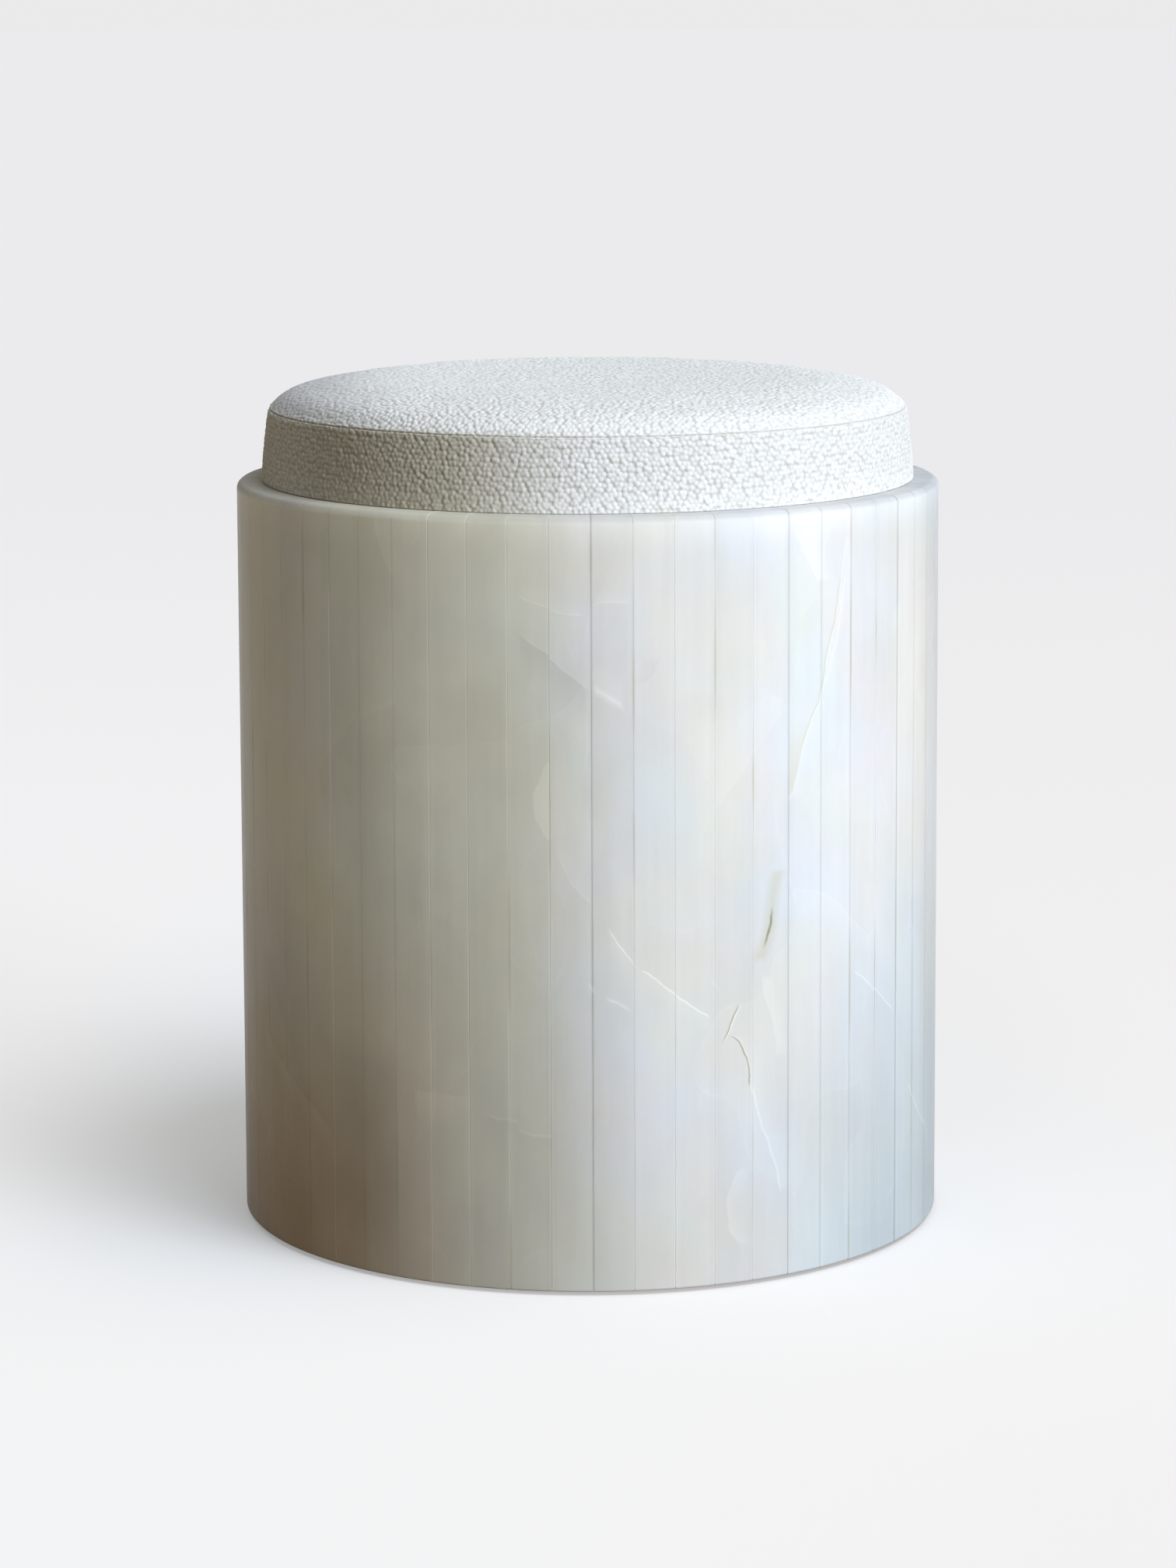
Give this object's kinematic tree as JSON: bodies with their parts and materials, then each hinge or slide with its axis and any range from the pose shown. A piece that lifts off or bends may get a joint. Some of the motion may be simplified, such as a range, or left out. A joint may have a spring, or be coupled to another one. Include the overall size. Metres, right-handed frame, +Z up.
{
  "type": "round stone stool",
  "caption": "Round drum stool of upright white onyx staves with a lift-off upholstered boucle seat, standing on hidden glides.",
  "frame": {"origin": "on the floor under the middle of the drum, at the centre of the ring of glides", "axes": "+Z up along the drum's axis, which is its axis of symmetry; the front faces -Y"},
  "size_m": [0.3804, 0.3804, 0.46],
  "materials": {
    "onyx": "polished",
    "birch_plywood": "matte",
    "zinc_steel": "satin",
    "nylon": "satin",
    "dust_cloth": "matte",
    "foam": "matte",
    "wadding": "matte",
    "boucle": "matte"
  },
  "bodies": {
    "drum": {"stave_pair_01": "onyx", "stave_pair_02": "onyx", "stave_pair_03": "onyx", "stave_pair_04": "onyx", "stave_pair_05": "onyx", "stave_pair_06": "onyx", "stave_pair_07": "onyx", "stave_pair_08": "onyx", "stave_pair_09": "onyx", "stave_pair_10": "onyx", "stave_pair_11": "onyx", "stave_pair_12": "onyx", "stave_pair_13": "onyx", "stave_pair_14": "onyx", "stave_pair_15": "onyx", "stave_pair_16": "onyx", "stave_pair_17": "onyx", "stave_pair_18": "onyx", "stave_pair_19": "onyx", "stave_pair_20": "onyx", "stave_pair_21": "onyx", "stave_pair_22": "onyx", "stave_pair_23": "onyx", "stave_pair_24": "onyx", "stave_pair_25": "onyx", "stave_pair_26": "onyx", "stave_pair_27": "onyx", "stave_pair_28": "onyx", "core_tube": "birch_plywood", "top_ring": "birch_plywood", "mid_ring": "birch_plywood", "base_ring": "birch_plywood", "base_plate": "birch_plywood", "base_screw_01": "zinc_steel", "base_screw_02": "zinc_steel", "base_screw_03": "zinc_steel", "base_screw_04": "zinc_steel", "base_screw_05": "zinc_steel", "base_screw_06": "zinc_steel", "glide_01": "nylon", "glide_02": "nylon", "glide_03": "nylon", "glide_04": "nylon", "glide_05": "nylon", "glide_06": "nylon"},
    "seat": {"seat_plug": "birch_plywood", "seat_board": "birch_plywood", "plug_screw_01": "zinc_steel", "plug_screw_02": "zinc_steel", "plug_screw_03": "zinc_steel", "plug_screw_04": "zinc_steel", "dust_cover": "dust_cloth", "seat_foam": "foam", "seat_wadding": "wadding", "cover_top": "boucle", "cover_band": "boucle"}
  },
  "joints": [
    {"name": "seat_lift", "type": "slide", "parent": "drum", "child": "seat", "axis": [0, 0, 1], "range_m": [0, 0.06]}
  ]
}
